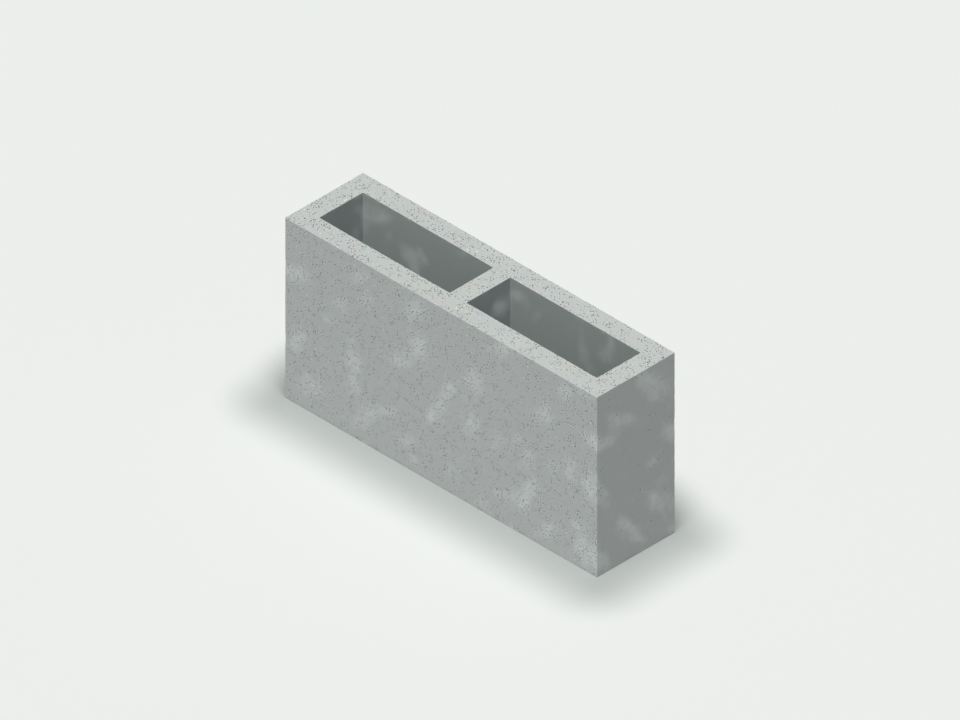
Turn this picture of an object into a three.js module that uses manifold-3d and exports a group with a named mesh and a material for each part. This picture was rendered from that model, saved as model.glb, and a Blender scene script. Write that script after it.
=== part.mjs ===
// A hollow concrete block for thin walls, 400 x 100 x 200 mm, pressed in one piece.
//
// Two rectangular cores run through its height and leave two face shells, two end webs
// and a centre web. The cores narrow towards the top, because the mould's core bars have
// to draw out of the fresh concrete, so the block is laid with its thick webs up, where
// the mortar goes. Its ends are plain.
//
// Units are millimetres. X runs along the length, Y across the width and Z up as laid.
// The origin is the middle of the lower bed face, on the centre web.

import * as THREE from "three";
import { toCreasedNormals } from "three/addons/utils/BufferGeometryUtils.js";
import Module from "manifold-3d";

const wasm = await Module();
wasm.setup();

// Driving dimensions.
const blockLength = 400;
const blockWidth = 100;
const blockHeight = 200;
const wallThickness = 22; // shells and webs alike, at the upper bed face
const coreCount = 2;
const coreDraft = 2; // how much further out each core wall stands at the foot

// Edges.
const blockCornerRadius = 2; // upright corners of the mould box
const coreCornerRadius = 2; // upright corners of the core bars
const arrisRadius = 1.2; // bed-face edges, broken in stripping and stacking
const cornerSteps = 4;
const arrisSteps = 3;

// Worked out from them.
const coreLength = (blockLength - (coreCount + 1) * wallThickness) / coreCount;
const coreWidth = blockWidth - 2 * wallThickness;
const corePitch = coreLength + wallThickness;
const cutMargin = 5; // how far a core's cutter passes each bed face

// A rectangle about the origin with rounded corners, as a closed counter-clockwise profile.
function roundedRectangle(length, width, radius) {
  const x = length / 2 - radius;
  const y = width / 2 - radius;
  const corners = [
    [x, y],
    [-x, y],
    [-x, -y],
    [x, -y],
  ];
  return corners.flatMap(([centreX, centreY], corner) => {
    const from = (corner * Math.PI) / 2;
    const arc = new THREE.EllipseCurve(centreX, centreY, radius, radius, from, from + Math.PI / 2);
    return arc.getPoints(cornerSteps);
  });
}

// A quarter turn from a bed face to an upright wall, as steps of { along, across }: how far
// each point is from the bed face, and how far it is from the wall.
function arrisArc() {
  const arc = [];
  for (let step = 0; step <= arrisSteps; step++) {
    const angle = (step / arrisSteps) * (Math.PI / 2);
    arc.push({
      along: arrisRadius * (1 - Math.cos(angle)),
      across: arrisRadius * (1 - Math.sin(angle)),
    });
  }
  return arc;
}

// A closed solid through one profile at several heights. Each level moves the profile's
// sides out by its spread, so the corner radius stays the same all the way up.
function loft(profile, levels) {
  const sides = profile.length;
  const position = levels.flatMap(({ z, spread }) =>
    profile.flatMap(({ x, y }) => [x + Math.sign(x) * spread, y + Math.sign(y) * spread, z]),
  );
  const index = [];
  for (let level = 0; level < levels.length - 1; level++) {
    for (let side = 0; side < sides; side++) {
      const here = level * sides + side;
      const next = level * sides + ((side + 1) % sides);
      index.push(here, next, next + sides);
      index.push(here, next + sides, here + sides);
    }
  }
  const top = (levels.length - 1) * sides;
  for (const [a, b, c] of THREE.ShapeUtils.triangulateShape(profile, [])) {
    index.push(a, c, b);
    index.push(top + a, top + b, top + c);
  }
  return new wasm.Manifold(
    new wasm.Mesh({
      numProp: 3,
      vertProperties: new Float32Array(position),
      triVerts: new Uint32Array(index),
    }),
  );
}

// The block before its cores: an upright prism whose bed-face edges are rounded over.
function outerBlock() {
  const arc = arrisArc();
  const foot = arc.map(({ along, across }) => ({ z: along, spread: -across }));
  const head = arc.map(({ along, across }) => ({ z: blockHeight - along, spread: -across }));
  const profile = roundedRectangle(blockLength, blockWidth, blockCornerRadius);
  return loft(profile, [...foot, ...head.reverse()]);
}

// How far a core's walls stand outside its mouth in the upper bed face, at a height.
function draftAt(z) {
  return coreDraft * (1 - z / blockHeight);
}

// One core, as the cutter that opens it: drafted walls, with a rounded mouth at each end.
function coreCutter() {
  const arc = arrisArc();
  const foot = arc.map(({ along, across }) => ({
    z: along,
    spread: draftAt(along) + across,
  }));
  const head = arc.map(({ along, across }) => ({
    z: blockHeight - along,
    spread: draftAt(blockHeight - along) + across,
  }));
  const below = { z: -cutMargin, spread: foot[0].spread };
  const above = { z: blockHeight + cutMargin, spread: head[0].spread };
  const profile = roundedRectangle(coreLength, coreWidth, coreCornerRadius);
  return loft(profile, [below, ...foot, ...head.reverse(), above]);
}

// The whole block, with its cores spaced evenly along the length.
function blockSolid() {
  let solid = outerBlock();
  for (let core = 0; core < coreCount; core++) {
    const centreX = (core - (coreCount - 1) / 2) * corePitch;
    solid = solid.subtract(coreCutter().translate([centreX, 0, 0]));
  }
  return solid;
}

// A drawable geometry of a solid, smooth round its small radii and sharp where faces meet.
function geometryOf(solid) {
  const { vertProperties, triVerts } = solid.getMesh();
  const geometry = new THREE.BufferGeometry();
  geometry.setAttribute("position", new THREE.BufferAttribute(vertProperties, 3));
  geometry.setIndex(new THREE.BufferAttribute(triVerts, 1));
  return toCreasedNormals(geometry, THREE.MathUtils.degToRad(35));
}

const concrete = new THREE.MeshStandardMaterial({
  name: "concrete",
  color: 0xa0a5a3,
  roughness: 0.95,
  metalness: 0,
});

const block = new THREE.Mesh(geometryOf(blockSolid()), concrete);
block.name = "concrete_block";

const part = new THREE.Group();
part.add(block);

export default part;
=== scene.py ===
# A hollow concrete block on a pale studio floor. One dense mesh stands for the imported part,
# with eased and slightly worn arrises, and each kind of face has its own finish of concrete.

import math

import bpy
import numpy as np
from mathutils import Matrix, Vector, noise


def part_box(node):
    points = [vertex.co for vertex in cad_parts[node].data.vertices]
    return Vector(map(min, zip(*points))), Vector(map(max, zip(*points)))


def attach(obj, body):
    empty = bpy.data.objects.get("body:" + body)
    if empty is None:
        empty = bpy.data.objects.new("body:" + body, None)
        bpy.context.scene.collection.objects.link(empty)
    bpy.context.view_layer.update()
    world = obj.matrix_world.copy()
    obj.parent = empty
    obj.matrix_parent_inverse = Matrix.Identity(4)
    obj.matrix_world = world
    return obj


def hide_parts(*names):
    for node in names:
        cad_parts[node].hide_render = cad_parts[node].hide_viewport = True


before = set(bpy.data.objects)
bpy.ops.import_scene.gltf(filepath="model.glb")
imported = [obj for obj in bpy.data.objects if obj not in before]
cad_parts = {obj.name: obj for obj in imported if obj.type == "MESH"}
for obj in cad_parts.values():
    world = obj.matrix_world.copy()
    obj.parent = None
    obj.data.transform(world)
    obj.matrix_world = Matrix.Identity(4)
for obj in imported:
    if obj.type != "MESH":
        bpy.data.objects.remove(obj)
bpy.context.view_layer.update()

scene = bpy.context.scene
scene.view_settings.view_transform = "Standard"
mm = 0.001  # lengths are in metres, written as millimetres


# Camera

cameraView = {
    "turn": 45.0,  # degrees round from the long face, towards the right end
    "tilt": math.degrees(math.atan(1 / math.sqrt(2))),  # draws all three axes at one scale
    "frameWidth": 870.9 * mm,
    "aim": (0, 0, 116.7 * mm),
    "distance": 1.6,
}


def makeCamera(view):
    turn, tilt = math.radians(view["turn"]), math.radians(view["tilt"])
    level = math.cos(tilt)
    back = Vector((math.sin(turn) * level, -math.cos(turn) * level, math.sin(tilt)))
    data = bpy.data.cameras.new("camera")
    data.type = "ORTHO"
    data.ortho_scale = view["frameWidth"]
    camera = bpy.data.objects.new("camera", data)
    camera.location = Vector(view["aim"]) + back * view["distance"]
    camera.rotation_mode = "QUATERNION"
    camera.rotation_quaternion = (-back).to_track_quat("-Z", "Y")
    scene.collection.objects.link(camera)
    scene.camera = camera


makeCamera(cameraView)
print("camera placed")


# Node helpers. A value given to a socket is either another node's output or a plain number.


def feed(tree, socket, value):
    if isinstance(value, bpy.types.NodeSocket):
        tree.links.new(value, socket)
    else:
        socket.default_value = value


def addNode(tree, kind, inputs, **settings):
    node = tree.nodes.new(kind)
    for name, value in settings.items():
        setattr(node, name, value)
    for name, value in inputs.items():
        feed(tree, node.inputs[name], value)
    return node.outputs


def maths(tree, operation, first, second=0.0):
    return addNode(tree, "ShaderNodeMath", {0: first, 1: second}, operation=operation)[0]


def vectorMaths(tree, operation, first, second):
    return addNode(tree, "ShaderNodeVectorMath", {0: first, 1: second}, operation=operation)[0]


def scaled(tree, value, scale):
    inputs = {0: value, "Scale": scale}
    return addNode(tree, "ShaderNodeVectorMath", inputs, operation="SCALE")[0]


def mixColour(tree, factor, first, second):
    sockets = {0: factor, 6: first, 7: second}
    return addNode(tree, "ShaderNodeMix", sockets, data_type="RGBA")[2]


def ramp(tree, value, start, end, low=0.0, high=1.0):
    inputs = {"Value": value, "From Min": start, "From Max": end, "To Min": low, "To Max": high}
    return addNode(tree, "ShaderNodeMapRange", inputs, interpolation_type="SMOOTHSTEP")["Result"]


def noiseField(tree, place, size, detail, roughness=0.5):
    scale = maths(tree, "DIVIDE", 1.0, size)
    inputs = {"Vector": place, "Scale": scale, "Detail": detail, "Roughness": roughness}
    return addNode(tree, "ShaderNodeTexNoise", inputs)


def newGroup(name, inputs, outputs):
    tree = bpy.data.node_groups.new(name, "ShaderNodeTree")
    for socketName, kind in inputs.items():
        tree.interface.new_socket(name=socketName, in_out="INPUT", socket_type=kind)
    for socketName, kind in outputs.items():
        tree.interface.new_socket(name=socketName, in_out="OUTPUT", socket_type=kind)
    given = tree.nodes.new("NodeGroupInput").outputs
    return tree, given, tree.nodes.new("NodeGroupOutput").inputs


def placeGroup(tree, group, inputs):
    return addNode(tree, "ShaderNodeGroup", inputs, node_tree=group)


numberSocket = "NodeSocketFloat"
vectorSocket = "NodeSocketVector"
colourSocket = "NodeSocketColor"


# Effects that the finishes share

texture = {
    "speckWander": 0.8,  # how far a speck's outline wanders, in its sizes
    "speckScatter": 0.9,  # from 0, on a lattice, to 1, at random
    "speckSizes": (0.8, 1.2),  # smallest and largest, in the size given
    "speckStrengths": (0.15, 1.0),
    "speckCore": 0.7,  # the part of a speck's radius that is solid
    "rimCore": 0.6,
    "rimBreak": (-0.1, 0.15),  # the levels of noise between which a rim fades in
    "clusterEdge": 0.08,  # how softly a cluster ends
    "fullBloom": 1.4,  # the level at which bloom hides the paste
    "sandShare": 0.6,  # how much of the grain's height is round sand
    "sandTones": (0.3, 0.7),  # the tones that are smoothest and roughest
}


def speckGroup():
    tree, given, result = newGroup(
        "scattered specks",
        {
            "Vector": vectorSocket,
            "Flat Vector": vectorSocket,
            "Spacing": numberSocket,
            "Size": numberSocket,
            "Rim Width": numberSocket,
            "Dark Share": numberSocket,
            "Pale Share": numberSocket,
            "Cluster Size": numberSocket,
            "Cluster Level": numberSocket,
            "Loose Share": numberSocket,
        },
        {"Dark": numberSocket, "Rim": numberSocket, "Pale": numberSocket},
    )
    uneven = noiseField(tree, given["Flat Vector"], given["Size"], 3.0, 0.6)["Color"]
    uneven = vectorMaths(tree, "SUBTRACT", uneven, (0.5, 0.5, 0.5))
    shift = scaled(tree, uneven, maths(tree, "MULTIPLY", given["Size"], texture["speckWander"]))
    place = vectorMaths(tree, "ADD", given["Flat Vector"], shift)
    scale = maths(tree, "DIVIDE", 1.0, given["Spacing"])
    inputs = {"Vector": place, "Scale": scale, "Randomness": texture["speckScatter"]}
    cells = addNode(tree, "ShaderNodeTexVoronoi", inputs, voronoi_dimensions="2D")
    own = addNode(tree, "ShaderNodeSeparateColor", {"Color": cells["Color"]})  # random by cell
    radius = maths(tree, "MULTIPLY", maths(tree, "MULTIPLY", given["Size"], 0.5), scale)
    growth = ramp(tree, own["Green"], 0.0, 1.0, *texture["speckSizes"])
    radius = maths(tree, "MULTIPLY", radius, growth)
    solid = maths(tree, "MULTIPLY", radius, texture["speckCore"])
    spot = ramp(tree, cells["Distance"], radius, solid)
    outside = maths(tree, "MULTIPLY", radius, given["Rim Width"])
    solid = maths(tree, "MULTIPLY", outside, texture["rimCore"])
    rim = ramp(tree, cells["Distance"], outside, solid)
    side = addNode(tree, "ShaderNodeSeparateXYZ", {"Vector": uneven})["X"]
    rim = maths(tree, "MULTIPLY", rim, ramp(tree, side, *texture["rimBreak"]))
    crowd = noiseField(tree, given["Vector"], given["Cluster Size"], 3.0, 0.6)["Fac"]
    packed = maths(tree, "ADD", given["Cluster Level"], texture["clusterEdge"])
    crowd = ramp(tree, crowd, given["Cluster Level"], packed, given["Loose Share"], 1.0)
    darkShare = maths(tree, "MULTIPLY", given["Dark Share"], crowd)
    paleShare = maths(tree, "MULTIPLY", given["Pale Share"], crowd)
    strength = ramp(tree, own["Green"], 0.0, 1.0, *texture["speckStrengths"])
    dark = maths(tree, "MULTIPLY", maths(tree, "LESS_THAN", own["Red"], darkShare), strength)
    pale = maths(tree, "MULTIPLY", maths(tree, "LESS_THAN", own["Blue"], paleShare), strength)
    feed(tree, result["Dark"], maths(tree, "MULTIPLY", spot, dark))
    feed(tree, result["Rim"], maths(tree, "MULTIPLY", rim, dark))
    feed(tree, result["Pale"], maths(tree, "MULTIPLY", spot, pale))
    return tree


def bloomGroup():
    tree, given, result = newGroup(
        "cement bloom",
        {
            "Vector": vectorSocket,
            "Painted": numberSocket,
            "Size": numberSocket,
            "Raggedness": numberSocket,
            "Run": vectorSocket,
            "Streak": numberSocket,
        },
        {"Mask": numberSocket},
    )
    along = addNode(
        tree, "ShaderNodeVectorMath", {0: given["Vector"], 1: given["Run"]}, operation="DOT_PRODUCT"
    )["Value"]
    pull = scaled(tree, given["Run"], maths(tree, "MULTIPLY", along, given["Streak"]))
    place = vectorMaths(tree, "SUBTRACT", given["Vector"], pull)
    cloud = noiseField(tree, place, given["Size"], 4.0, 0.6)["Fac"]
    ragged = maths(tree, "MULTIPLY", maths(tree, "SUBTRACT", cloud, 0.5), given["Raggedness"])
    level = maths(tree, "ADD", given["Painted"], ragged)
    feed(tree, result["Mask"], ramp(tree, level, 0.0, texture["fullBloom"]))
    return tree


def tintGroup():
    tree, given, result = newGroup(
        "tint drift",
        {
            "Color": colourSocket,
            "Vector": vectorSocket,
            "Size": numberSocket,
            "Strength": numberSocket,
        },
        {"Color": colourSocket},
    )
    drift = noiseField(tree, given["Vector"], given["Size"], 2.0)["Color"]
    centred = vectorMaths(tree, "SUBTRACT", drift, (0.5, 0.5, 0.5))
    factor = vectorMaths(tree, "ADD", scaled(tree, centred, given["Strength"]), (1, 1, 1))
    feed(tree, result["Color"], vectorMaths(tree, "MULTIPLY", given["Color"], factor))
    return tree


def sandGroup():
    tree, given, result = newGroup(
        "sandy grain",
        {"Vector": vectorSocket, "Size": numberSocket},
        {"Height": numberSocket, "Tone": numberSocket},
    )
    fine = noiseField(tree, given["Vector"], given["Size"], 2.0)["Fac"]
    scale = maths(tree, "DIVIDE", 1.0, given["Size"])
    cells = {"Vector": given["Vector"], "Scale": scale, "Smoothness": 0.5}
    grains = addNode(tree, "ShaderNodeTexVoronoi", cells, feature="SMOOTH_F1")["Distance"]
    rounded = maths(tree, "MULTIPLY", grains, texture["sandShare"])
    feed(tree, result["Height"], maths(tree, "SUBTRACT", fine, rounded))
    feed(tree, result["Tone"], fine)
    return tree


effects = {"speck": speckGroup(), "bloom": bloomGroup(), "tint": tintGroup(), "sand": sandGroup()}


# Concrete finishes

concrete = {
    # dark specks: partly dark sand grains and partly painted shade in their pits
    "darkGrainAndPitShade": (0.05, 0.057, 0.053, 1),
    "paleGrainAndRimHighlight": (0.72, 0.74, 0.72, 1),
    "speckSpacing": 2.0 * mm,
    "speckRimHighlight": 2.2,  # width of the pale rim round a dark speck, a painted highlight on its pit's edge, in sizes of its speck
    "rimHighlightStrength": 0.75,
    "speckPit": 3.5,  # depth of a dark speck's pit, in heights of the sandy grain
    "clusterSize": 10 * mm,
    "bloomSize": 8 * mm,
    "bloomRun": (0.577, -0.577, 0.577),  # the direction that bloom is drawn out in
    "bloomStreak": 0.6,  # from 0, even all round, to 1, endless streaks
    "bloomSpecks": 1.8,  # how many more specks there are in full bloom, as a share
    "sandSize": 1.1 * mm,
    "roughness": (0.84, 0.97),  # smoothest and roughest
    "specular": 0.25,
}

finishes = {
    "shellFace": {
        "turn": (-90, 0, 0),  # lays the face's own plane flat
        "paste": (0.394, 0.412, 0.407, 1),
        "bloom": (0.508, 0.535, 0.526, 1),
        "raggedness": 1.8,  # how far noise breaks up the bloom
        "speckSize": 1.15 * mm,
        "darkShare": 1.2,
        "paleShare": 0.15,
        "clusterLevel": 0.50,  # how rare the clusters of specks are
        "looseShare": 0.10,  # how many specks lie outside the clusters
        "tintSize": 16 * mm,
        "tint": 0.03,
        "sandTone": 0.02,
        "sandHeight": 0.07 * mm,
    },
    "endFace": {
        "turn": (0, 90, 0),
        "paste": (0.443, 0.463, 0.456, 1),
        "bloom": (0.605, 0.627, 0.617, 1),
        "raggedness": 1.6,
        "speckSize": 1.3 * mm,
        "darkShare": 0.30,
        "paleShare": 0.10,
        "clusterLevel": 0.58,
        "looseShare": 0.0,
        "tintSize": 22 * mm,
        "tint": 0.03,
        "sandTone": 0.04,
        "sandHeight": 0.07 * mm,
    },
    "bedFace": {
        "turn": (0, 0, 0),
        "paste": (0.437, 0.455, 0.439, 1),
        "bloom": (0.463, 0.482, 0.467, 1),
        "raggedness": 1.8,
        "speckSize": 1.3 * mm,
        "darkShare": 1.2,
        "paleShare": 0.20,
        "clusterLevel": 0.50,
        "looseShare": 0.16,
        "tintSize": 14 * mm,
        "tint": 0.12,
        "sandTone": 0.03,
        "sandHeight": 0.07 * mm,
    },
    # Painted light: the core's shell walls are painted much lighter than the outer faces, to make
    # up for the shade inside the cores
    "coreShellWallPaintedLight": {
        "turn": (-90, 0, 0),
        "paste": (0.562, 0.610, 0.590, 1),
        "bloom": (0.828, 0.866, 0.848, 1),
        "raggedness": 1.0,
        "speckSize": 1.3 * mm,
        "darkShare": 0.0,
        "paleShare": 0.0,
        "clusterLevel": 0.5,
        "looseShare": 0.0,
        "tintSize": 24 * mm,
        "tint": 0.05,
        "sandTone": 0.04,
        "sandHeight": 0.06 * mm,
    },
    "coreWebWall": {
        "turn": (0, 90, 0),
        "paste": (0.370, 0.396, 0.397, 1),
        "bloom": (0.643, 0.688, 0.708, 1),
        "raggedness": 1.0,
        "speckSize": 1.3 * mm,
        "darkShare": 0.0,
        "paleShare": 0.0,
        "clusterLevel": 0.5,
        "looseShare": 0.0,
        "tintSize": 24 * mm,
        "tint": 0.05,
        "sandTone": 0.04,
        "sandHeight": 0.06 * mm,
    },
}


def concreteMaterial(name, finish):
    material = bpy.data.materials.new(name)
    material.use_nodes = True
    tree = material.node_tree
    shader = tree.nodes["Principled BSDF"]
    place = addNode(tree, "ShaderNodeTexCoord", {})["Object"]
    painted = addNode(tree, "ShaderNodeAttribute", {}, attribute_name="bloom")["Fac"]

    bloom = placeGroup(tree, effects["bloom"], {
        "Vector": place,
        "Painted": painted,
        "Size": concrete["bloomSize"],
        "Raggedness": finish["raggedness"],
        "Run": concrete["bloomRun"],
        "Streak": concrete["bloomStreak"],
    })["Mask"]
    sand = placeGroup(tree, effects["sand"], {"Vector": place, "Size": concrete["sandSize"]})

    share = maths(tree, "MULTIPLY", bloom, concrete["bloomSpecks"] * finish["darkShare"])
    share = maths(tree, "ADD", share, finish["darkShare"])
    turn = [math.radians(angle) for angle in finish["turn"]]
    flat = addNode(tree, "ShaderNodeMapping", {"Vector": place, "Rotation": turn})["Vector"]

    specks = placeGroup(tree, effects["speck"], {
        "Vector": place,
        "Flat Vector": flat,
        "Spacing": concrete["speckSpacing"],
        "Size": finish["speckSize"],
        "Rim Width": concrete["speckRimHighlight"],
        "Dark Share": share,
        "Pale Share": finish["paleShare"],
        "Cluster Size": concrete["clusterSize"],
        "Cluster Level": finish["clusterLevel"],
        "Loose Share": finish["looseShare"],
    })

    def tinted(base, size, strength):
        inputs = {"Color": base, "Vector": place, "Size": size, "Strength": strength}
        return placeGroup(tree, effects["tint"], inputs)["Color"]

    look = mixColour(tree, bloom, finish["paste"], finish["bloom"])
    look = tinted(look, finish["tintSize"], finish["tint"])
    look = tinted(look, concrete["sandSize"], finish["sandTone"])
    # The pale rim round each dark speck is a painted highlight on the pit's edge; pale specks are
    # pale sand grains
    rim = maths(tree, "MULTIPLY", specks["Rim"], concrete["rimHighlightStrength"])
    look = mixColour(tree, maths(tree, "MAXIMUM", rim, specks["Pale"]), look, concrete["paleGrainAndRimHighlight"])
    # Dark specks, partly dark grains and partly painted shade in the pits
    look = mixColour(tree, specks["Dark"], look, concrete["darkGrainAndPitShade"])
    feed(tree, shader.inputs["Base Color"], look)

    pit = maths(tree, "MULTIPLY", specks["Dark"], concrete["speckPit"])
    height = maths(tree, "SUBTRACT", sand["Height"], pit)
    bump = addNode(tree, "ShaderNodeBump", {"Height": height, "Distance": finish["sandHeight"]})
    feed(tree, shader.inputs["Normal"], bump["Normal"])
    roughness = ramp(tree, sand["Tone"], *texture["sandTones"], *concrete["roughness"])
    feed(tree, shader.inputs["Roughness"], roughness)
    shader.inputs["Specular IOR Level"].default_value = concrete["specular"]
    return material


materials = {name: concreteMaterial(name, finish) for name, finish in finishes.items()}
print("concrete finishes made:", ", ".join(materials))


# The block's mesh. It starts as a sharp block of graded lines, is drawn onto the drafted and
# rounded solid, and is then worn.

block = {
    "wall": 22 * mm,  # shells and webs at the upper bed
    "draft": 2 * mm,  # how much further out each core wall stands at the foot
    "outerRadius": 0.3 * mm,
    "mouthRounding": 0.2 * mm,
    "coreCorner": 1.0 * mm,
    "edgeStep": 0.1 * mm,  # mesh spacing at an arris, which grows away from it
    "stepGrowth": 2.1,
    "bedStep": 2.1 * mm,
    "outerRise": 2.6 * mm,
    "coreRise": 5 * mm,
    "slopeStep": 0.02 * mm,  # the distance over which the surface's slope is felt
    "leastSlope": 0.1,  # keeps a point's steps short where the slope fades, as in a mouth
    "slack": 0.001 * mm,
}

low, high = (np.array(corner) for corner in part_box("concrete_block"))
middle = (low + high) / 2
half = (high - low) / 2
height = 2 * half[2]
coreHalf = np.array([(2 * half[0] - 3 * block["wall"]) / 4, half[1] - block["wall"]])
coreCentres = [side * (coreHalf[0] + block["wall"] / 2) for side in (-1, 1)]


def gradedLines(start, end, coarse):
    span = end - start
    steps = []
    step = block["edgeStep"]
    while step < coarse and 2 * (sum(steps) + step) < span - coarse:
        steps.append(step)
        step *= block["stepGrowth"]
    left = span - 2 * sum(steps)
    count = max(1, round(left / coarse))
    steps = steps + [left / count] * count + steps[::-1]
    return start + np.concatenate([[0], np.cumsum(steps)])


def throughBreaks(breaks, coarse):
    lines = [gradedLines(a, b, coarse)[:-1] for a, b in zip(breaks, breaks[1:])]
    return np.concatenate(lines + [[breaks[-1]]])


def sharpBlock():
    wall, coarse = block["wall"], block["bedStep"]
    breaksX = [-half[0], -half[0] + wall, -wall / 2, wall / 2, half[0] - wall, half[0]]
    breaksY = [-half[1], -half[1] + wall, half[1] - wall, half[1]]
    linesX, linesY = throughBreaks(breaksX, coarse), throughBreaks(breaksY, coarse)
    outerZ = gradedLines(0, height, block["outerRise"])
    coreZ = gradedLines(0, height, block["coreRise"])
    slots = {name: slot for slot, name in enumerate(materials)}
    points, faces, kinds = [], [], []

    def overCore(x, y):
        nearest = np.minimum(*[np.abs(x - centre) for centre in coreCentres])
        return (nearest < coreHalf[0]) & (np.abs(y) < coreHalf[1])

    def addGrid(finish, linesA, linesB, place, flip=False, open=None):
        a, b = np.meshgrid(linesA, linesB, indexing="ij")
        index = sum(map(len, points)) + np.arange(a.size).reshape(a.shape)
        quads = np.stack([index[:-1, :-1], index[1:, :-1], index[1:, 1:], index[:-1, 1:]], -1)
        kept = quads.reshape(-1, 4)
        if open is not None:
            midA, midB = (a[:-1, :-1] + a[1:, 1:]) / 2, (b[:-1, :-1] + b[1:, 1:]) / 2
            kept = kept[~open(midA, midB).ravel()]
        points.append(np.stack(np.broadcast_arrays(*place(a, b)), -1).reshape(-1, 3))
        faces.append(kept[:, ::-1] if flip else kept)
        kinds.append(np.full(len(kept), slots[finish]))

    for side in (-1, 1):
        addGrid("shellFace", linesX, outerZ, lambda x, z: (x, side * half[1], z), flip=side > 0)
        addGrid("endFace", linesY, outerZ, lambda y, z: (side * half[0], y, z), flip=side < 0)
    addGrid("bedFace", linesX, linesY, lambda x, y: (x, y, height), open=overCore)
    addGrid("bedFace", linesX, linesY, lambda x, y: (x, y, 0), flip=True, open=overCore)
    innerY = linesY[np.abs(linesY) < coreHalf[1] + block["slack"]]
    for centre in coreCentres:
        innerX = linesX[np.abs(linesX - centre) < coreHalf[0] + block["slack"]]
        for side in (-1, 1):
            wallX, wallY = centre + side * coreHalf[0], side * coreHalf[1]
            addGrid("coreShellWallPaintedLight", innerX, coreZ, lambda x, z: (x, wallY, z), flip=side < 0)
            addGrid("coreWebWall", innerY, coreZ, lambda y, z: (wallX, y, z), flip=side > 0)

    every, corners = np.round(np.concatenate(points), 8), np.concatenate(faces)
    shared, where = np.unique(every[corners.ravel()], axis=0, return_inverse=True)
    return shared, where.reshape(corners.shape), np.concatenate(kinds), (breaksX, breaksY)


def drafted(points, breaks):
    result = points.copy()
    rise = points[:, 2] / height
    for axis, outward in ((0, (0, -1, 1, -1, 1, 0)), (1, (0, -1, 1, 0))):
        atFoot = np.array(breaks[axis]) + block["draft"] * np.array(outward)
        foot = np.interp(points[:, axis], breaks[axis], atFoot)
        result[:, axis] = foot + (points[:, axis] - foot) * rise
    return result


# Distances to the solid's surface, negative inside the material


def roundedBox(inset, radius):
    outside = np.linalg.norm(np.maximum(inset, 0), axis=1)
    return outside + np.minimum(inset.max(1), 0) - radius


def coreDistance(points, centre):
    spread = block["draft"] * (1 - (points[:, 2] - low[2]) / height) - block["coreCorner"]
    across = np.abs(points[:, :2] - (centre, middle[1])) - coreHalf
    return roundedBox(across - spread[:, None], block["coreCorner"])


def easedMax(first, second, reach):
    blend = np.maximum(reach - np.abs(first - second), 0) / reach
    return np.maximum(first, second) + blend * blend * reach / 4


def solidDistance(points):
    inset = np.abs(points - middle) - (half - block["outerRadius"])
    solid = roundedBox(inset, block["outerRadius"])
    for centre in coreCentres:
        solid = easedMax(solid, -coreDistance(points, centre), block["mouthRounding"])
    return solid


def outwardSlope(points):
    step = block["slopeStep"]
    offsets = np.eye(3) * step
    return np.stack([
        (solidDistance(points + offset) - solidDistance(points - offset)) / (2 * step)
        for offset in offsets
    ], 1)


def drawnOn(points, rounds=6):
    for _ in range(rounds):
        slope = outwardSlope(points)
        steepness = np.maximum((slope**2).sum(1), block["leastSlope"])
        points = points - slope * (solidDistance(points) / steepness)[:, None]
    return points


# Wear, all of it inwards

wear = {
    "wave": (50 * mm, 0.08 * mm),  # size and depth
    "ripple": (7 * mm, 0.05 * mm),
    "chip": (9 * mm, 0.30 * mm),
    "chipReach": 1.6 * mm,  # how far from an arris
    "chipLevel": 0.3,  # how rare the chips are
    "chipGrowth": 4,  # how steeply a chip's sides fall
    "crumb": (5 * mm, 0.10 * mm),
    "crumbReach": 0.8 * mm,
    "layerStrength": 0.6,  # of each finer layer of noise, next to the last
    "layerFineness": 2.0,
}


def noiseAt(points, size, octaves=1):
    layers = wear["layerStrength"], wear["layerFineness"], octaves
    return np.array([noise.fractal(Vector(point), *layers) for point in points / size])


def arrisDistance(points):
    outer = half - np.abs(points - middle)
    cores = np.minimum(*[np.abs(coreDistance(points, centre)) for centre in coreCentres])
    return np.sort(np.column_stack([outer, cores]), axis=1)[:, 1]


def worn(points):
    slope = outwardSlope(points)
    normal = slope / np.linalg.norm(slope, axis=1)[:, None]
    near = arrisDistance(points)
    size, depth = wear["wave"]
    inward = depth * np.clip(0.5 + 0.5 * noiseAt(points, size, 3), 0, 1)
    size, depth = wear["ripple"]
    inward += depth * np.clip(0.5 + noiseAt(points, size), 0, 1)
    size, depth = wear["chip"]
    chips = np.clip(noiseAt(points + 1.0, size) - wear["chipLevel"], 0, 1)
    chips *= wear["chipGrowth"]
    inward += depth * np.clip(chips, 0, 1) * np.exp(-((near / wear["chipReach"]) ** 2))
    size, depth = wear["crumb"]
    crumbs = np.clip(noiseAt(points + 2.0, size, 2), 0, 1)
    inward += depth * crumbs * np.exp(-((near / wear["crumbReach"]) ** 2))
    return points - normal * inward[:, None]


# Bloom: pale cloudy spots of dried cement, painted on the mesh and broken up by the finish.
# Each is across and down from its face's top left corner, half length, half width, the angle
# it leans to the right of level, and strength. Lengths are in millimetres.

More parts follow.
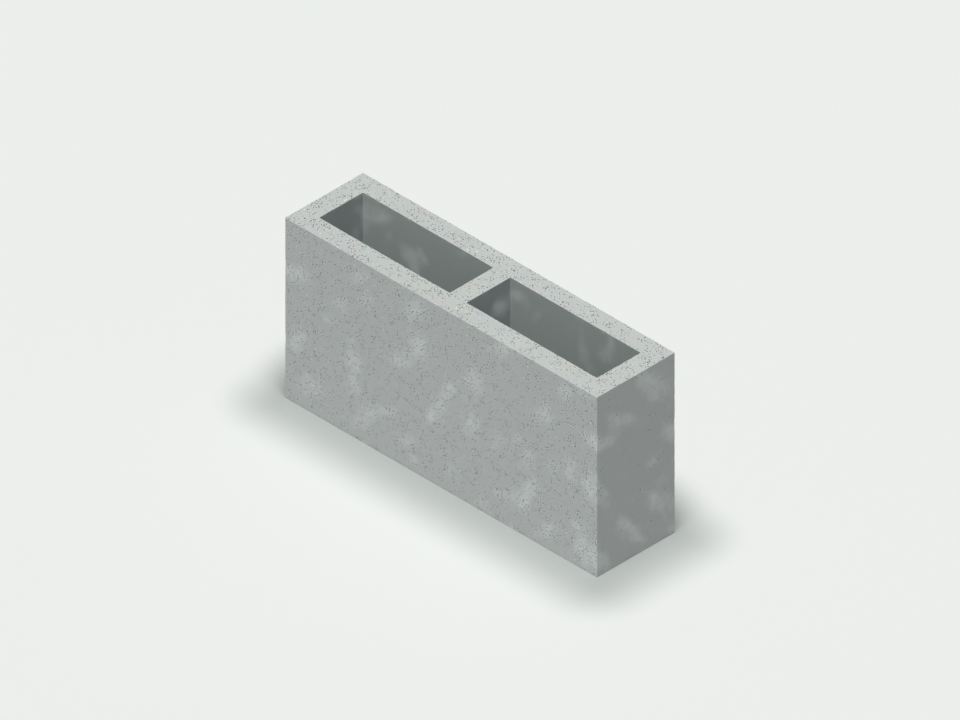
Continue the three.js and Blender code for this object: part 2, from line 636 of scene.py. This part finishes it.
bloomSpots = {
    "frontShell": [
        (95, 19, 16, 7, 40, 0.8), (102, 42, 13, 7, 45, 0.7), (166, 19, 20, 10, 42, 0.85),
        (170, 59, 18, 13, 70, 1.0), (147, 84, 17, 9, 30, 0.75), (70, 61, 12, 9, 40, 0.6),
        (55, 85, 12, 6, 30, 0.55), (12, 57, 19, 10, 25, 1.0), (90, 117, 13, 10, 60, 1.0),
        (84, 104, 14, 6, 85, 0.55), (87, 143, 13, 9, 85, 0.75), (15, 129, 18, 9, 50, 0.9),
        (33, 171, 22, 12, 30, 0.85), (111, 158, 16, 7, 38, 0.85), (133, 148, 14, 7, 25, 0.85),
        (98, 176, 16, 9, 42, 0.8), (155, 169, 16, 8, 20, 0.75), (189, 126, 12, 8, 40, 1.0),
        (198, 110, 18, 8, 65, 0.9), (211, 86, 17, 8, 48, 0.95), (243, 61, 17, 14, 100, 0.95),
        (237, 112, 23, 13, 70, 0.7), (280, 6, 20, 8, 25, 0.8), (270, 112, 16, 9, 50, 0.5),
        (299, 98, 10, 7, 45, 0.7), (311, 112, 16, 8, 60, 0.75), (331, 54, 18, 10, 55, 0.8),
        (359, 13, 14, 7, 52, 0.95), (384, 4, 14, 6, 10, 0.5), (393, 50, 12, 9, 20, 1.0),
        (366, 105, 8, 8, 60, 0.9), (362, 93, 13, 10, 30, 0.6), (391, 104, 20, 12, 80, 1.0),
        (304, 162, 15, 10, 60, 1.0), (313, 146, 20, 9, 58, 0.85), (281, 168, 16, 9, 30, 0.7),
        (336, 180, 17, 8, 38, 0.9), (388, 179, 19, 16, 10, 1.0), (379, 160, 17, 9, 125, 0.8),
        (213, 172, 17, 6, 60, 0.45), (248, 193, 14, 6, 20, 0.5), (77, 120, 8, 7, 60, 0.5),
        (164, 187, 9, 6, 30, 0.6), (343, 105, 9, 8, 60, 0.6), (378, 184, 8, 6, 30, 0.5),
        (147, 72, 7, 5, 40, 0.5),
    ],
    "rightEnd": [
        (60, 10, 13, 9, -45, 1.0), (65, 15, 10, 7, -45, 1.0), (80, 27, 24, 13, -50, 0.75),
        (69, 33, 10, 6, -60, 0.55), (25, 39, 14, 7, -38, 1.0), (43, 44, 12, 6, -45, 0.8),
        (14, 55, 17, 8, -20, 0.75), (2, 56, 8, 8, 0, 0.9), (94, 86, 14, 8, -52, 1.0),
        (71, 106, 9, 6, -42, 0.65), (82, 132, 11, 5, -40, 0.45), (74, 151, 14, 8, -60, 0.85),
        (87, 161, 23, 12, -50, 0.6), (34, 158, 16, 8, -55, 0.85), (45, 173, 17, 9, -45, 0.8),
        (56, 185, 10, 5, -35, 0.7), (6, 112, 18, 8, -62, 0.7), (4, 184, 16, 8, -45, 0.95),
        (97, 194, 8, 6, -45, 0.7),
    ],
    "leftCoreRearWall": [
        (24, 15, 17, 8, 30, 1.0), (9, 20, 16, 10, 60, 0.7), (33, 31, 8, 5, 60, 0.6),
        (3, 30, 24, 4, 90, 0.3), (62, 40, 13, 10, 20, 1.15), (65, 53, 10, 7, 90, 1.15),
        (72, 31, 7, 5, 80, 0.8), (54, 42, 8, 6, -10, 0.8), (78, 36, 8, 6, -10, 0.95),
        (64, 42, 9, 8, 20, 0.9), (67, 59, 8, 6, 90, 0.8), (129, 4, 11, 5, 30, 0.5),
    ],
    "rightCoreRearWall": [
        (7, 16, 9, 7, 50, 1.0), (18, 18, 12, 10, 60, 0.4), (34, 26, 10, 6, 45, 0.5),
        (91, 15, 11, 5, 80, 0.4), (93, 37, 13, 8, 95, 0.75), (102, 51, 11, 6, -20, 0.5),
        (129, 9, 14, 6, 85, 0.8), (122, 25, 12, 9, 30, 0.9),
    ],
    "leftCoreLeftWall": [(49, 16, 9, 6, -45, 0.4), (48, 41, 10, 8, -45, 0.5)],
    "rightCoreLeftWall": [(44, 27, 13, 9, -45, 1.0), (42, 27, 9, 8, -45, 0.8)],
}

strewnBloom = {  # how many spots the other faces get
    "backShell": 26,
    "leftEnd": 8,
    "lowerBed": 14,
    "upperBed": 14,
    "leftCoreFrontWall": 9,
    "rightCoreFrontWall": 9,
    "leftCoreRightWall": 4,
    "rightCoreRightWall": 4,
}

spotShape = {
    "seed": 4,
    "halfLength": (8, 19),  # of a strewn spot, in millimetres, as is its half width
    "halfWidth": (5, 10),
    "leanSpread": 20,
    "strength": (0.4, 1.0),
    "depth": 5 * mm,  # keeps a spot to the face that it is on
    "firmness": 1.3,  # 1 is a soft spot, and more has a firmer edge
}


# Each face's top left corner, its directions across and down, and its size
def faceFrames():
    x, y, top = half[0], half[1], height
    right, back, up = np.eye(3)
    frames = {
        "frontShell": ((-x, -y, top), right, -up, (2 * x, top)),
        "backShell": ((x, y, top), -right, -up, (2 * x, top)),
        "rightEnd": ((x, -y, top), back, -up, (2 * y, top)),
        "leftEnd": ((-x, y, top), -back, -up, (2 * y, top)),
        "upperBed": ((-x, y, top), right, -back, (2 * x, 2 * y)),
        "lowerBed": ((-x, -y, 0), right, back, (2 * x, 2 * y)),
    }
    insideX, insideY = coreHalf
    for name, centre in zip(("leftCore", "rightCore"), coreCentres):
        start, end = centre - insideX, centre + insideX
        frames[name + "RearWall"] = ((start, insideY, top), right, -up, (2 * insideX, top))
        frames[name + "FrontWall"] = ((end, -insideY, top), -right, -up, (2 * insideX, top))
        frames[name + "LeftWall"] = ((start, -insideY, top), back, -up, (2 * insideY, top))
        frames[name + "RightWall"] = ((end, insideY, top), -back, -up, (2 * insideY, top))
    return frames


def strewn(size, count, lean, draw):
    across, down = size
    return [
        (
            draw.uniform(0, across) / mm,
            draw.uniform(0, down) / mm,
            draw.uniform(*spotShape["halfLength"]),
            draw.uniform(*spotShape["halfWidth"]),
            draw.normal(lean, spotShape["leanSpread"]),
            draw.uniform(*spotShape["strength"]),
        )
        for _ in range(count)
    ]


def paintedBloom(points):
    draw = np.random.default_rng(spotShape["seed"])
    painted = np.zeros(len(points))
    frames = faceFrames()
    spots = dict(bloomSpots)
    run = np.array(concrete["bloomRun"])
    for face, count in strewnBloom.items():
        _, across, down, size = frames[face]
        lean = math.degrees(math.atan2(-run @ down, run @ across))
        spots[face] = strewn(size, count, lean, draw)
    for face, marks in spots.items():
        corner, across, down, _ = frames[face]
        normal = np.cross(across, down)
        for alongFace, downFace, long, wide, lean, strength in marks:
            centre = np.array(corner) + (across * alongFace + down * downFace) * mm
            angle = math.radians(lean)
            along = across * math.cos(angle) - down * math.sin(angle)
            reach = points - centre
            spread = (reach @ along / (long * mm)) ** 2
            spread += (reach @ np.cross(along, normal) / (wide * mm)) ** 2
            spread += (reach @ normal / spotShape["depth"]) ** 2
            painted += (1 - painted) * strength * np.exp(-(spread ** spotShape["firmness"]))
    return painted


def makeBlock():
    points, faces, kinds, breaks = sharpBlock()
    points = drafted(points, breaks) + (middle[0], middle[1], low[2])
    points = worn(drawnOn(points))
    mesh = bpy.data.meshes.new("moulded_block")
    mesh.from_pydata(points.tolist(), [], faces.tolist())
    for material in materials.values():
        mesh.materials.append(material)
    mesh.polygons.foreach_set("material_index", kinds.astype(np.int32))
    mesh.polygons.foreach_set("use_smooth", np.ones(len(faces), bool))
    bloom = mesh.attributes.new("bloom", "FLOAT", "POINT")
    bloom.data.foreach_set("value", paintedBloom(points).astype(np.float32))
    mesh.update()
    piece = bpy.data.objects.new("moulded_block", mesh)
    scene.collection.objects.link(piece)
    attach(piece, "root")
    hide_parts("concrete_block")
    print("block meshed:", len(points), "points,", 2 * len(faces), "triangles")


makeBlock()


# Floor and light

studio = {
    "floorColour": (0.676, 0.686, 0.669, 1),  # as the camera sees it
    "floorBounce": (0.42, 0.43, 0.425, 1),  # as it lights the block
    "floorSize": 12.0,
    "ambient": (0.20, 0.216, 0.212, 1),
    "backdrop": (0.840, 0.864, 0.840, 1),
    "paintedShadow": (0.575, 0.595, 0.585, 1),  # painted shadow: how much darker the floor is painted where the block meets it, besides its real shadow
    "paintedShadowReach": 71 * mm,
    "paintedShadowShift": (5 * mm, -5 * mm, 0),  # the way in which the painted shadow is set off
    "overhead": {"strength": 1.06, "spread": 24, "lean": (9, 8)},  # lean from -Y and from +X
    "front": {"strength": 0.34, "spread": 0.1, "lean": (89.9, 0)},
    "back": {"strength": 0.20, "spread": 0.1, "lean": (-89.9, 0)},
    "left": {"strength": 0.16, "spread": 0.1, "lean": (0, -89.9)},
}


# 1 for what is seen, straight or through a reflection or a clear piece, and 0 for light given
def seenDirectly(tree):
    path = addNode(tree, "ShaderNodeLightPath", {})
    seen = maths(tree, "MAXIMUM", path["Is Camera Ray"], path["Is Glossy Ray"])
    return maths(tree, "MAXIMUM", seen, path["Is Transmission Ray"])


def makeFloor():
    edge = studio["floorSize"] / 2
    corners = [(-edge, -edge, 0), (edge, -edge, 0), (edge, edge, 0), (-edge, edge, 0)]
    mesh = bpy.data.meshes.new("floor")
    mesh.from_pydata(corners, [], [(0, 1, 2, 3)])
    material = bpy.data.materials.new("studioFloor")
    material.use_nodes = True
    tree = material.node_tree
    shader = tree.nodes["Principled BSDF"]
    seen = seenDirectly(tree)
    place = addNode(tree, "ShaderNodeTexCoord", {})["Object"]
    # A painted shadow: the floor's colour is darkened within reach of the block's foot, on top of
    # the real shadow the lamps cast
    centred = vectorMaths(tree, "SUBTRACT", place, tuple(middle + studio["paintedShadowShift"]))
    aside = addNode(tree, "ShaderNodeVectorMath", {0: centred}, operation="ABSOLUTE")[0]
    past = vectorMaths(tree, "SUBTRACT", aside, tuple(half))
    past = vectorMaths(tree, "MULTIPLY", vectorMaths(tree, "MAXIMUM", past, (0, 0, 0)), (1, 1, 0))
    gap = addNode(tree, "ShaderNodeVectorMath", {0: past}, operation="LENGTH")["Value"]
    paintedShade = ramp(tree, gap, studio["paintedShadowReach"], 0.0)
    paintedShadow = [level * dark for level, dark in zip(studio["floorColour"], studio["paintedShadow"])]
    shown = mixColour(tree, paintedShade, studio["floorColour"], paintedShadow)
    feed(tree, shader.inputs["Base Color"], mixColour(tree, seen, studio["floorBounce"], shown))
    shader.inputs["Roughness"].default_value = 1.0
    shader.inputs["Specular IOR Level"].default_value = 0.0
    mesh.materials.append(material)
    floor = bpy.data.objects.new("floor", mesh)
    scene.collection.objects.link(floor)


def makeSun(name):
    lamp = studio[name]
    data = bpy.data.lights.new(name, "SUN")
    data.energy = lamp["strength"] * math.pi
    data.angle = math.radians(lamp["spread"])
    sun = bpy.data.objects.new(name, data)
    sun.rotation_euler = [math.radians(angle) for angle in (*lamp["lean"], 0)]
    scene.collection.objects.link(sun)


def makeWorld():
    world = bpy.data.worlds.new("studio")
    world.use_nodes = True
    scene.world = world
    tree = world.node_tree
    seen = seenDirectly(tree)
    light = mixColour(tree, seen, studio["ambient"], studio["backdrop"])
    feed(tree, tree.nodes["Background"].inputs["Color"], light)


makeFloor()
for lamp in ("overhead", "front", "back", "left"):
    makeSun(lamp)
makeWorld()
print("floor and lights placed")
